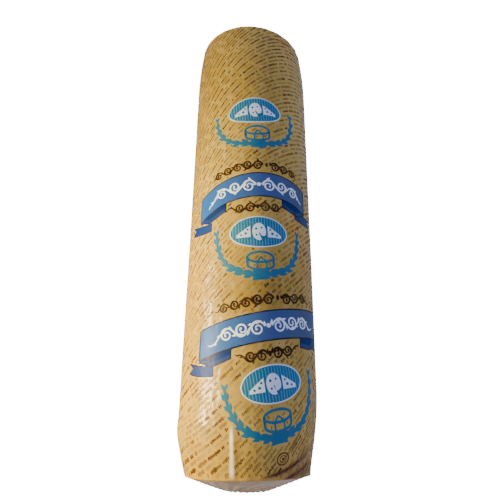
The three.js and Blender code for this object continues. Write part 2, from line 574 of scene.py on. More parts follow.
# Inks are printed unevenly, and let the casing show where they are thin. A changing ink takes another
# colour, and another share of thin patches, along a direction: from its start to where that comes to 1.
# On the ribbons this change is painted light: the inks are greyer on the shaded right and brighter blue on
# the lit left.
litLeftSide = {"toward": (-20, 0, 0), "start": -0.9}
toFarLeft = {"toward": (-15.0, 4.4, 0), "start": 0.0}
inkLooks = {
    "ribbonFace": {"colour": linear(72, 86, 108), "thin": 0.015, "change": litLeftSide,
                   "changed": linear(14, 84, 170), "changedThin": 1.0},
    "ribbonShade": {"colour": linear(4, 38, 92), "thin": 0.015},
    "ribbonTail": {"colour": linear(46, 66, 100), "thin": 0.015, "change": litLeftSide,
                   "changed": linear(4, 44, 118), "changedThin": 1.0},
    "ribbonEdge": {"colour": linear(14, 18, 46), "thin": 0.1},
    "vineWhite": {"colour": linear(226, 232, 238), "thin": 0.04},
    "sprigBrown": {"colour": linear(48, 24, 10), "thin": 0.1},
    "badgeBlue": {"colour": linear(34, 100, 130), "thin": 0.04},
    "badgePale": {"colour": linear(214, 222, 232), "thin": 0.05},
    "badgeStripe": {"colour": linear(78, 152, 190), "thin": 0.06},
    "markBrown": {"colour": linear(62, 36, 16), "thin": 0.2},
    "rowsDark": {"colour": linear(76, 48, 20), "thin": 0.78, "scale": 55, "change": toFarLeft,
                 "changed": linear(64, 38, 16), "changedThin": 0.12},
    "rowsFaded": {"colour": linear(130, 98, 46), "thin": 0.85, "scale": 45, "change": toFarLeft,
                  "changed": linear(124, 94, 44), "changedThin": 0.7},
}
inkScale = 120
thinPatches = {"detail": 4, "from": 0.4, "to": 0.68}


def inkMaterial(name, look):
    material, maker, shader = glossyMaterial(name, inkCoat)
    colour = look["colour"]
    patchy = maker.patches(look.get("scale", inkScale), thinPatches["detail"], (1, 1, 1),
                           thinPatches["from"], thinPatches["to"], 0, look["thin"])
    if "change" in look:
        change = maker.spread(maker.placeAlong(look["change"]["toward"]), look["change"]["start"], 1, 0, 1)
        patchy = maker.times(patchy, maker.spread(change, 0, 1, 1, look["changedThin"]))
        colour = maker.blend(change, colour, look["changed"])
    maker.join(maker.blend(patchy, colour, casingColours["light"]), shader.inputs["Base Color"])
    return material


def makeCasing():
    outline = casingOutline()
    points, marks = casingPoints(outline)
    rings, count = points.shape[:2]
    poles = [[0.0, pole[1], axisHeight] for pole in (outline[0], outline[-1])]
    verts = np.concatenate([points.reshape(-1, 3), np.array(poles)])
    nearPole, farPole = rings * count, rings * count + 1
    faces = []
    for ring in range(rings - 1):
        for step in range(count):
            after = (step + 1) % count
            faces.append((ring * count + step, ring * count + after,
                          (ring + 1) * count + after, (ring + 1) * count + step))
    last = (rings - 1) * count
    for step in range(count):
        after = (step + 1) % count
        faces.append((nearPole, after, step))
        faces.append((farPole, last + step, last + after))
    piece = meshObject("filmCasing", verts * metre, faces, casingMaterial())
    for name, values in marks.items():
        layer = piece.data.attributes.new(name, "FLOAT", "POINT")
        poleValue = 1.0 if name == "bareFilm" else 0.0
        layer.data.foreach_set("value", np.append(values.ravel(), [poleValue] * 2).astype(np.float32))
    closeAndSmooth(piece, casing["crispAngle"])
    rideAndReplace(piece)
    return piece


film = makeCasing()
print("casing made", len(film.data.polygons))


# The print is drawn flat, as places around and along the casing, and then wrapped on it.
printForm = {"thick": 0.16, "leastHalf": 0.03, "crispAngle": 35}


def placesOf(mesh):
    flat = np.empty(len(mesh.vertices) * 3)
    mesh.vertices.foreach_get("co", flat)
    return flat.reshape(-1, 3)


def wrapOnLog(mesh):
    flat = placesOf(mesh)
    angle, y = flat[:, 0] / bodyRadius, flat[:, 1]
    place = sidePoint(angle, y) + sideNormal(angle, y) * flat[:, 2:]
    mesh.vertices.foreach_set("co", (place * metre).ravel())
    mesh.update()


# A thin closed slab over a grid of flat places, with its top at lift.
def slab(grid, lift, looped=False):
    along, across = grid.shape[:2]
    size = along * across
    top = np.dstack([grid, np.full((along, across), lift)]).reshape(-1, 3)
    low = top - np.array([0, 0, printForm["thick"]])
    index = np.arange(size).reshape(along, across)
    faces = []
    for row in range(along if looped else along - 1):
        after = (row + 1) % along
        for col in range(across - 1):
            corners = [index[row, col], index[row, col + 1], index[after, col + 1], index[after, col]]
            faces.append(corners)
            faces.append([corner + size for corner in reversed(corners)])
        for col in (0, across - 1):
            one, two = index[row, col], index[after, col]
            faces.append([one, two, two + size, one + size])
    if not looped:
        for row in (0, along - 1):
            for col in range(across - 1):
                one, two = index[row, col], index[row, col + 1]
                faces.append([one, two, two + size, one + size])
    return np.concatenate([top, low]), faces


# a slab along a line, as wide on each side as its half width
def stroke(line, halfWidths, lift, looped=False):
    line = np.asarray(line, float)
    halfWidths = np.maximum(np.broadcast_to(halfWidths, len(line)), printForm["leastHalf"])
    heading = np.roll(line, -1, 0) - np.roll(line, 1, 0) if looped else np.gradient(line, axis=0)
    heading = heading / np.maximum(np.linalg.norm(heading, axis=1, keepdims=True), 1e-9)
    sideways = np.stack([-heading[:, 1], heading[:, 0]], 1) * halfWidths[:, None]
    across = np.array([-1.0, 0.0, 1.0])[None, :, None]
    return slab(line[:, None] + sideways[:, None] * across, lift, looped)


# a square grid pressed into a round one, wide across and tall along
def disc(centre, wide, tall, lift, steps):
    part = np.linspace(-1, 1, steps + 1)
    a, b = np.meshgrid(part, part, indexing="ij")
    u = a * np.sqrt(1 - b * b / 2) * wide + centre[0]
    t = b * np.sqrt(1 - a * a / 2) * tall + centre[1]
    return slab(np.dstack([u, t]), lift)


def ovalLine(centre, wide, tall, count, start=0.0, sweep=2 * math.pi):
    turn = start + np.arange(count) * sweep / (count if sweep >= 2 * math.pi else count - 1)
    return np.array(centre) + np.stack([wide * np.cos(turn), tall * np.sin(turn)], 1)


# Moves a shape drawn round nought to its spot on the flat print, tilted and bowed as it is there.
def onSpot(verts, spot):
    verts = np.array(verts, float)
    turn = math.atan(spot["tilt"])
    u = verts[:, 0] * math.cos(turn) - verts[:, 1] * math.sin(turn)
    t = verts[:, 0] * math.sin(turn) + verts[:, 1] * math.cos(turn) - spot["bow"] * verts[:, 0] ** 2
    verts[:, 0] = u + spot["around"]
    verts[:, 1] = t + spot["along"]
    return verts


# gathers flat shapes into one mesh
class FlatShapes:
    def __init__(self):
        self.verts = []
        self.faces = []
        self.count = 0

    def add(self, verts, faces):
        self.verts.append(verts)
        self.faces += [[int(corner) + self.count for corner in face] for face in faces]
        self.count += len(verts)

    def asObject(self, name, material=None):
        return meshObject(name, np.concatenate(self.verts), self.faces, material)


inked = {}


def draw(ink, shape, spot=None):
    verts, faces = shape
    inked.setdefault(ink, FlatShapes()).add(onSpot(verts, spot) if spot else verts, faces)


# A blue ribbon with folded ends crosses the print twice.
ribbonSpots = [
    {"around": 4.0, "along": 20.7, "tilt": 0.108, "bow": 0.0043, "from": -51.5, "to": 50.5},
    {"around": 10.0, "along": -97.4, "tilt": 0.2, "bow": 0.0011, "from": -50.5, "to": 60.0},
]
ribbon = {
    "halfHeight": 11.0,
    "steps": 60,
    "rise": 10,
    "edge": 0.5,
    "endEdge": 0.36,
    "foldLength": 27.0,
    "foldSteps": 24,
    "foldDrop": 8.6,
    "foldStart": 0.22,
    "foldEase": 2.1,
    "foldLift": 1.2,
    "liftFrom": 0.6,
    "liftEase": 2.5,
    "hem": 3.4,
    "hemStart": 0.15,
    "hemEase": 3,
    "tailReach": 11.5,
    "tailLength": 25.0,
    "tailTall": 7.6,
    "tailSag": 1.2,
    "tailBend": (0.1, 0.4),    # lean and share
    "notch": 5.0,
}
ribbonLift = {"tail": 0.06, "hem": 0.09, "fold": 0.1, "tailEdge": 0.13, "face": 0.14, "hemEdge": 0.15,
              "edge": 0.19}


def ribbonMiddle(spot, a):
    return np.stack([a + spot["around"], spot["along"] + spot["tilt"] * a - spot["bow"] * a ** 2], -1)


def addRibbon(spot):
    high = ribbon["halfHeight"]
    line = ribbonMiddle(spot, np.linspace(spot["from"], spot["to"], ribbon["steps"]))
    upright = np.linspace(-high, high, ribbon["rise"])[None, :, None] * np.array([0.0, 1.0])
    draw("ribbonFace", slab(line[:, None] + upright, ribbonLift["face"]))
    border = np.concatenate([line + [0, high], line[::-1] - [0, high]])
    draw("ribbonEdge", stroke(border, ribbon["edge"], ribbonLift["edge"], looped=True))
    for side in (-1, 1):
        addRibbonEnd(spot, side)


# One end: the dark fold that turns back under the band, its lighter hem, and the notched tail.
def addRibbonEnd(spot, side):
    high, drop, steps = ribbon["halfHeight"], ribbon["foldDrop"], ribbon["foldSteps"]
    end = spot["from"] if side < 0 else spot["to"]
    part = np.linspace(0, 1, steps)
    under = ribbonMiddle(spot, end - side * part * ribbon["foldLength"]) - [0, high]
    first = ribbon["foldStart"]
    deep = drop * (first + (1 - first) * smooth01(part * ribbon["foldEase"]))
    deep = deep - ribbon["foldLift"] * smooth01((part - ribbon["liftFrom"]) * ribbon["liftEase"])
    hem = ribbon["hem"] * smooth01(part * ribbon["hemEase"] + ribbon["hemStart"])
    low = under - np.stack([np.zeros(steps), deep], 1)
    hemTop = low + np.stack([np.zeros(steps), hem], 1)
    down = np.linspace(0, 1, 4)[None, :, None]
    fold = (under + [0, 1])[:, None] * (1 - down) + hemTop[:, None] * down
    lighter = (hemTop + [0, 0.3])[:, None] * (1 - down) + low[:, None] * down
    draw("ribbonShade", slab(fold, ribbonLift["fold"]))
    draw("ribbonTail", slab(lighter, ribbonLift["hem"]))
    outer = np.concatenate([low, under[-1:]])
    draw("ribbonEdge", stroke(outer, ribbon["endEdge"], ribbonLift["hemEdge"]))

    start = under[0] + [side * ribbon["tailReach"], -drop * 0.1]
    reach = ribbon["tailLength"]
    a, b = np.meshgrid(np.linspace(0, 1, 12), np.linspace(0, 1, 9), indexing="ij")
    lean, bend = ribbon["tailBend"]
    sag = ribbon["tailSag"] * np.sin(a * np.pi) - (spot["tilt"] - side * lean) * side * a * reach * bend
    u = start[0] - side * a * reach - side * ribbon["notch"] * (1 - np.abs(2 * b - 1)) * (1 - a) ** 3
    t = start[1] - b * ribbon["tailTall"] - sag
    grid = np.dstack([u, t])
    draw("ribbonTail", slab(grid, ribbonLift["tail"]))
    for border in (grid[0], grid[:, -1], grid[-1], grid[:8, 0]):
        draw("ribbonEdge", stroke(border, ribbon["endEdge"], ribbonLift["tailEdge"]))


# Scrolls: a waving stem that rolls up into a curl in each hollow, with small leaves. They stand in rows
# above, on and below a ribbon. The badge's garland is a plain stem with leaves in pairs.
sprigKinds = {
    "vineWhite": {"length": 4.4, "half": 0.85, "gap": 5.2, "lean": 0.8, "paired": False, "stem": 0.78,
                  "lift": 0.2, "wave": 4.3, "halfWave": 11.6, "curl": 5.5, "bud": (1.7, 1.7)},
    "sprigBrown": {"length": 4.1, "half": 0.72, "gap": 4.4, "lean": 0.9, "paired": False, "stem": 0.86,
                   "lift": 0.14, "wave": 3.2, "halfWave": 8.6, "curl": 4.2, "bud": (1.25, 2.1)},
    "badgeBlue": {"length": 8.4, "half": 1.95, "gap": 7.0, "lean": 0.62, "paired": True, "stem": 1.9,
                  "lift": 0.14},
}
scroll = {"steps": 60, "narrowing": 0.35, "turns": 1.35, "curlSteps": 26, "smaller": 0.22, "winding": 0.78,
          "thinning": 0.45, "tip": 1.1}
sprigStems = {name: [] for name in sprigKinds}


def addSprig(kind, line, narrowing):
    part = np.linspace(0, 1, len(line))
    draw(kind, stroke(line, sprigKinds[kind]["stem"] * (1 - narrowing * part), sprigKinds[kind]["lift"]))
    sprigStems[kind].append(line)


def wavyRow(kind, spot, first, last, offset):
    look = sprigKinds[kind]
    heading = 1 if last > first else -1

    def stemAt(distance):
        line = ribbonMiddle(spot, first + heading * distance - spot["around"]) + [0, offset]
        line[..., 1] += look["wave"] * np.sin(distance / look["halfWave"] * np.pi)
        return line

    length = abs(last - first)
    addSprig(kind, stemAt(np.linspace(0, length, scroll["steps"])), scroll["narrowing"])
    part = np.linspace(0, 1, scroll["curlSteps"])
    for number in range(int(length / look["halfWave"])):
        distance = (number + 0.5) * look["halfWave"]
        hollow = -1 if number % 2 else 1
        size = look["curl"] * (1 - scroll["smaller"] * distance / length)
        centre = stemAt(np.array(distance)) - [0, hollow * size]
        turn = hollow * (math.pi / 2 - heading * part * scroll["turns"] * 2 * math.pi)
        reach = size * (1 - scroll["winding"] * part)
        curl = centre + np.stack([reach * np.cos(turn), reach * np.sin(turn)], 1)
        draw(kind, stroke(curl, look["stem"] * (1.0 - scroll["thinning"] * part), look["lift"]))
        tip = look["stem"] * scroll["tip"]
        draw(kind, disc(curl[-1], tip, tip, look["lift"], steps=4))


# Where each row of scrolls starts and ends, and how far it is from the ribbon's middle.
sprigRows = [
    [("vineWhite", 4.5, -37, 0.0), ("vineWhite", 9.5, 48, 0.0), ("sprigBrown", 10.5, -34, 19.0),
     ("sprigBrown", 16.5, 43, 18.6), ("sprigBrown", 4.5, -19, -20.4), ("sprigBrown", 7.5, 30, -20.4)],
    [("vineWhite", 12.0, -30, 0.0), ("vineWhite", 17.0, 59, 0.0), ("sprigBrown", 19.0, -25, 20.4),
     ("sprigBrown", 25.0, 54, 19.4), ("sprigBrown", 14.0, -9, -20.6), ("sprigBrown", 17.0, 40, -20.2)],
]


# the rows of one ribbon, with a bud where each two of them start
def addSprigRows(spot, ofRibbon):
    for row in ofRibbon:
        wavyRow(row[0], spot, *row[1:])
    for (kind, first, _, offset), (_, other, _, _) in zip(ofRibbon[::2], ofRibbon[1::2]):
        centre = ribbonMiddle(spot, np.array((first + other) / 2 - spot["around"])) + [0, offset]
        draw(kind, disc(centre, *sprigKinds[kind]["bud"], sprigKinds[kind]["lift"], steps=6))


# The badge: an oval striped plate with three pale cheeses, over a leafy garland round a cut wheel.
badgeSpots = [
    {"around": 3.6, "along": 96.3, "tilt": 0.085, "bow": 0.0045},
    {"around": 7.2, "along": -21.8, "tilt": 0.05, "bow": 0.0012},
    {"around": 18.0, "along": -137.8, "tilt": 0.185, "bow": 0.0},
]
plate = {
    "wide": 23.5,
    "tall": 12.8,
    "rim": 0.42,
    "rimOut": 0.2,
    "stripeGap": 2.35,
    "stripeHalf": 0.3,
    "stripeShort": 0.6,
    "cheese": (5.6, 7.4),
    "cheeseHoles": [(-2.4, 2.4, 1.0), (2.0, 3.2, 0.75), (-2.2, -3.0, 0.8)],
    "cutTip": (-0.6, -0.8),
    "cutEnds": [(2.2, -8.0), (6.4, -3.2)],
}
wedge = {"at": 12.4, "length": 11.2, "back": 5.8, "thin": 2.4, "grows": 7.4, "low": 4.6,
         "holes": [(-2.2, -2.4, 0.85), (1.6, -1.4, 1.1), (3.2, 1.8, 0.8)]}
wheel = {"wide": 10.5, "tall": 4.2, "deep": 6.0, "drop": 21.5, "half": 0.95, "cutHalf": 0.7,
         "cuts": [(-3.0, 0.95), (4.6, 0.88)]}
garland = {"wide": 35.5, "drop": 38.0, "overlap": 0.2, "sweep": 1.62, "squareness": 0.06, "narrowing": 0.45,
           "steps": 40, "knot": (3.6, 2.4), "knotHeight": 0.95, "knotHalf": 0.9}
badgeLift = {"ground": 0.1, "rim": 0.13, "line": 0.14, "knot": 0.16, "cheese": 0.2, "hole": 0.26}


def addHoles(spot, holes, at=0.0, way=1):
    for a, b, size in holes:
        draw("badgeBlue", disc((at + a * way, b), size, size, badgeLift["hole"], steps=4), spot)


def addPlate(spot):
    wide, tall, out = plate["wide"], plate["tall"], plate["rimOut"]
    draw("badgeBlue", disc((0, 0), wide, tall, badgeLift["ground"], steps=18), spot)
    rim = ovalLine((0, 0), wide + out, tall + out, 80)
    draw("badgePale", stroke(rim, plate["rim"], badgeLift["rim"], looped=True), spot)
    count = int(2 * wide / plate["stripeGap"])
    for step in range(1, count):
        a = -wide + 2 * wide * step / count
        reach = tall * math.sqrt(1 - (a / wide) ** 2) - plate["stripeShort"]
        line = np.stack([np.full(10, a), np.linspace(-reach, reach, 10)], 1)
        draw("badgeStripe", stroke(line, plate["stripeHalf"], badgeLift["line"]), spot)
    for way in (1, -1):
        addPaleWedge(spot, -way * wedge["at"], way)
    draw("badgePale", disc((0, 0), *plate["cheese"], badgeLift["cheese"], steps=12), spot)
    cut = np.linspace(0, 1, 6)[:, None, None]
    one, two = (np.array([plate["cutTip"], end]) for end in plate["cutEnds"])
    draw("badgeBlue", slab(one * (1 - cut) + two * cut, badgeLift["hole"]), spot)
    addHoles(spot, plate["cheeseHoles"])


def addPaleWedge(spot, at, way):
    part = np.linspace(0, 1, 8)
    across, up = np.meshgrid(part, part, indexing="ij")
    shape = np.dstack([at + way * (across * wedge["length"] - wedge["back"]),
                       up * (wedge["thin"] + wedge["grows"] * across) - wedge["low"]])
    draw("badgePale", slab(shape, badgeLift["cheese"]), spot)
    addHoles(spot, wedge["holes"], at, way)


def addWheel(spot):
    wide, tall, deep, half = (wheel[key] for key in ("wide", "tall", "deep", "half"))
    centre = np.array([0.0, -wheel["drop"]])
    lift = badgeLift["line"]
    draw("badgeBlue", stroke(ovalLine(centre, wide, tall, 48), half, lift, looped=True), spot)
    side = ovalLine(centre - [0, deep], wide, tall, 30, math.pi, math.pi)
    ends = np.concatenate([[centre - [wide, 0]], side, [centre + [wide, 0]]])
    draw("badgeBlue", stroke(ends, half, lift), spot)
    for across, part in wheel["cuts"]:
        cut = np.array([centre, centre + [across, -tall * part], centre + [across, -tall * part - deep]])
        draw("badgeBlue", stroke(cut, half * wheel["cutHalf"], lift), spot)


def addGarland(spot):
    bottom = -math.pi / 2
    for side in (-1, 1):
        turn = np.linspace(bottom - side * garland["overlap"], bottom + side * garland["sweep"],
                           garland["steps"])
        squared = 1 + garland["squareness"] * np.cos(2 * turn)
        line = np.stack([garland["wide"] * np.cos(turn), garland["drop"] * np.sin(turn) * squared], 1)
        addSprig("badgeBlue", onSpot(line, spot), garland["narrowing"])
    knot = ovalLine((0, -garland["drop"] * garland["knotHeight"]), *garland["knot"], 24)
    draw("badgeBlue", stroke(knot, garland["knotHalf"], badgeLift["knot"], looped=True), spot)


# a round mark near the near rim
roundMark = {"spot": {"around": 28.6, "along": -186.6, "tilt": 0.3, "bow": 0.0}, "wide": 4.9, "tall": 3.7,
             "half": 0.42, "rings": (1.0, 0.55), "middle": (0.9, 0.7), "lift": 0.13}


def addRoundMark():
    spot, lift = roundMark["spot"], roundMark["lift"]
    for size in roundMark["rings"]:
        line = ovalLine((0, 0), roundMark["wide"] * size, roundMark["tall"] * size, 36)
        draw("markBrown", stroke(line, roundMark["half"] * size, lift, looped=True), spot)
    draw("markBrown", disc((0, 0), *roundMark["middle"], lift, steps=4), spot)


for ribbonSpot, ofRibbon in zip(ribbonSpots, sprigRows):
    addRibbon(ribbonSpot)
    addSprigRows(ribbonSpot, ofRibbon)
for badgeSpot in badgeSpots:
    addPlate(badgeSpot)
    addWheel(badgeSpot)
    addGarland(badgeSpot)
addRoundMark()

inkMaterials = {name: inkMaterial(name, look) for name, look in inkLooks.items()}
flatPieces = {name: inked[name].asObject(name, inkMaterials[name]) for name in inkLooks if name in inked}
print("print drawn", len(flatPieces))


# short forms for Geometry Nodes
class GrowthMaker(NodeMaker):
    def __init__(self, name):
        super().__init__(bpy.data.node_groups.new(name, "GeometryNodeTree"))
        self.tree.interface.new_socket("Geometry", in_out="OUTPUT", socket_type="NodeSocketGeometry")
        self.inside = self.tree.nodes.new("NodeGroupInput")
        self.outside = self.tree.nodes.new("NodeGroupOutput")
        self.sockets = {}

    def input(self, name, kind="Float"):
        item = self.tree.interface.new_socket(name, in_out="INPUT", socket_type="NodeSocket" + kind)
        self.sockets[name] = item.identifier
        return self.inside.outputs[name]

    def position(self):
        return self.node("GeometryNodeInputPosition").outputs[0]

    def either(self, result, *others):
        for other in others:
            result = self.node("FunctionNodeBooleanMath", (0, result), (1, other), operation="OR").outputs[0]
        return result

    def compare(self, operation, first, second):
        return self.node("FunctionNodeCompare", (0, first), (1, second), data_type="FLOAT",
                         operation=operation).outputs[0]

    def less(self, first, second):
        return self.compare("LESS_THAN", first, second)

    def more(self, first, second):
        return self.compare("GREATER_THAN", first, second)

    def random(self, low, high, seed):
        return self.node("FunctionNodeRandomValue", (2, low), (3, high), ("Seed", seed),
                         data_type="FLOAT").outputs[1]

    def finish(self, geometry, material):
        solid = self.node("GeometryNodeRealizeInstances", (0, geometry)).outputs[0]
        inkedSolid = self.node("GeometryNodeSetMaterial", ("Geometry", solid), ("Material", material))
        self.join(inkedSolid.outputs[0], self.outside.inputs["Geometry"])

    # runs the tree on an empty mesh and keeps the plain result
    def grow(self, name, values):
        holder = linkedObject(name, bpy.data.meshes.new(name + "Start"))
        modifier = holder.modifiers.new("grow", "NODES")
        modifier.node_group = self.tree
        for key, value in values.items():
            modifier[self.sockets[key]] = value
        holder.update_tag()
        bpy.context.view_layer.update()
        graph = bpy.context.evaluated_depsgraph_get()
        mesh = bpy.data.meshes.new_from_object(holder.evaluated_get(graph))
        holder.modifiers.remove(modifier)
        holder.data = mesh
        mesh.name = name
        print(name, "faces", len(mesh.polygons))
        return holder


# Leaves stand along the stems of the scrolls and the garland, in pairs or by turns.
leafForm = {"fullness": 0.75, "tip": 0.04, "bend": -0.16, "smallerAlong": 0.35, "wobble": 0.14,
            "size": (0.82, 1.1), "sink": 0.01, "seed": 31}


def leafTree():
    maker = GrowthMaker("leavesOnStems")
    stems = maker.input("Stems", "Object")
    length, half, gap, lean, thick, lift = (maker.input(name) for name in (
        "Leaf Length", "Leaf Half Width", "Gap", "Lean", "Thickness", "Lift"))
    paired = maker.input("In Pairs", "Bool")
    seed = maker.input("Seed", "Int")
    material = maker.input("Ink", "Material")

    block = maker.node("GeometryNodeMeshCube", ("Vertices X", 9), ("Vertices Y", 3), ("Vertices Z", 2))
    x, y, z = maker.apart(maker.position())
    part = maker.plus(x, 0.5)
    full = maker.math("SINE", maker.times(maker.math("POWER", part, leafForm["fullness"]), math.pi))
    wide = maker.plus(maker.times(full, half), leafForm["tip"])
    bend = maker.times(part, part, maker.times(length, leafForm["bend"]))
    shaped = maker.vector(
        maker.times(part, length),
        maker.plus(maker.times(y, 2.0, wide), bend),
        maker.minus(maker.times(z, thick), maker.times(thick, 0.5)),
    )
    leaf = maker.node("GeometryNodeSetPosition", ("Geometry", block.outputs["Mesh"]), ("Position", shaped))

    source = maker.node("GeometryNodeObjectInfo", ("Object", stems))
    curve = maker.node("GeometryNodeMeshToCurve", (0, source.outputs["Geometry"]))
    even = maker.node("GeometryNodeResampleCurve", ("Curve", curve.outputs[0]), ("Length", gap),
                      mode="LENGTH")
    both = maker.node("GeometryNodeJoinGeometry")
    along = maker.node("GeometryNodeSplineParameter").outputs["Factor"]
    shrink = maker.minus(1.0, maker.times(along, leafForm["smallerAlong"]))
    tangentX, tangentY, _ = maker.apart(maker.node("GeometryNodeInputTangent").outputs[0])
    heading = maker.math("ARCTAN2", tangentY, tangentX)
    odd = maker.math("MODULO", maker.node("GeometryNodeInputIndex").outputs[0], 2.0)
    for side in (1, -1):
        ownTurn = maker.less(odd, 0.5) if side > 0 else maker.more(odd, 0.5)
        wobble = maker.random(-leafForm["wobble"], leafForm["wobble"], maker.plus(seed, float(side + 5)))
        size = maker.random(*leafForm["size"], maker.plus(seed, float(side + 11)))
        turn = maker.plus(heading, maker.times(maker.plus(lean, wobble), float(side)))
        scale = maker.times(size, shrink)
        placed = maker.node(
            "GeometryNodeInstanceOnPoints", ("Points", even.outputs[0]), ("Instance", leaf.outputs[0]),
            ("Selection", maker.either(ownTurn, paired)), ("Rotation", maker.vector(0.0, 0.0, turn)),
            ("Scale", maker.vector(scale, maker.times(scale, float(side)), 1.0)))
        maker.join(placed.outputs[0], both.inputs[0])
    raised = maker.node("GeometryNodeTransform", ("Geometry", both.outputs[0]),
                        ("Translation", maker.vector(0.0, 0.0, lift)))
    maker.finish(raised.outputs[0], material)
    return maker


def stemObject(name, lines):
    verts = [(u, t, 0.0) for line in lines for u, t in line]
    edges, start = [], 0
    for line in lines:
        edges += [(start + step, start + step + 1) for step in range(len(line) - 1)]
        start += len(line)
    return meshObject(name, verts, [], edges=edges)


leaves = leafTree()
leafNames = {"vineWhite": "vineLeaves", "sprigBrown": "sprigLeaves", "badgeBlue": "garlandLeaves"}
for number, (kind, leafName) in enumerate(leafNames.items()):
    look = sprigKinds[kind]
    stems = stemObject(kind + "Stems", sprigStems[kind])
    flatPieces[leafName] = leaves.grow(leafName, {
        "Stems": stems,
        "Leaf Length": look["length"],
        "Leaf Half Width": look["half"],
        "Gap": look["gap"],
        "Lean": look["lean"],
        "In Pairs": look["paired"],
        "Thickness": printForm["thick"],
        "Lift": look["lift"] - leafForm["sink"],
        "Seed": leafForm["seed"] + number,
        "Ink": inkMaterials[kind],
    })
    bpy.data.objects.remove(stems)


# Fine rows of small ticks climb across the whole casing, broken into short runs. Whole rows meet again
# after one turn round the log.
rowsApart = 9.7
rowsPerTurn = 33
rowClimb = math.atan(rowsApart * rowsPerTurn / (2 * math.pi * bodyRadius))
rowMargin = 1.5
rowSizes = {
    "Row Pitch": rowsApart * math.cos(rowClimb),
    "Tick Pitch": 1.45,
    "Climb": rowClimb,
    "Tick Thickness": 0.1,
    "Smaller Along": 0.0009,
    "Wider To Left": 0.012,
    "Wider Along": 0.0022,
    "Run Length": 15.5,
    "Run Gap": 0.13,
    "Bow": 0.0045,
    "Bow Growth": 0.000055,
    "End Bow": 0.0055,
    "End Bow From": -120.0,
    "End Bow Reach": 60.0,
    "Log Radius": bodyRadius,
    "Clear Of Artwork": 1.3,
    "Near Stop": -straightHalf + rowMargin,
    "Far Stop": straightHalf - rowMargin,
}
rowCounts = {"Row Count": 121, "Tick Count": 521}
# a tick, and one link of the thread under the ticks, which just overlaps the next
tickShape = {"Tick Half Width": 0.31, "Tick Height": 2.1, "Lift": 0.015, "Varied": 1.0}
threadShape = {"Tick Half Width": rowSizes["Tick Pitch"] * 0.505, "Tick Height": 0.5, "Lift": 0.005,
               "Varied": 0.0}
# how much wider and taller a tick may be, and how far it leans
tickChange = {"least": (-0.35, -0.45, 0.0), "most": (0.65, 0.25, 0.0), "lean": (-0.55, -0.05),
              "leftReach": 60.0}
# the second, longer breaks in a row, and the numbers that make each row start somewhere else
longBreaks = {"length": 2.37, "start": 1.7, "gap": 0.7}
rowScramble = (12.99, 437.6)


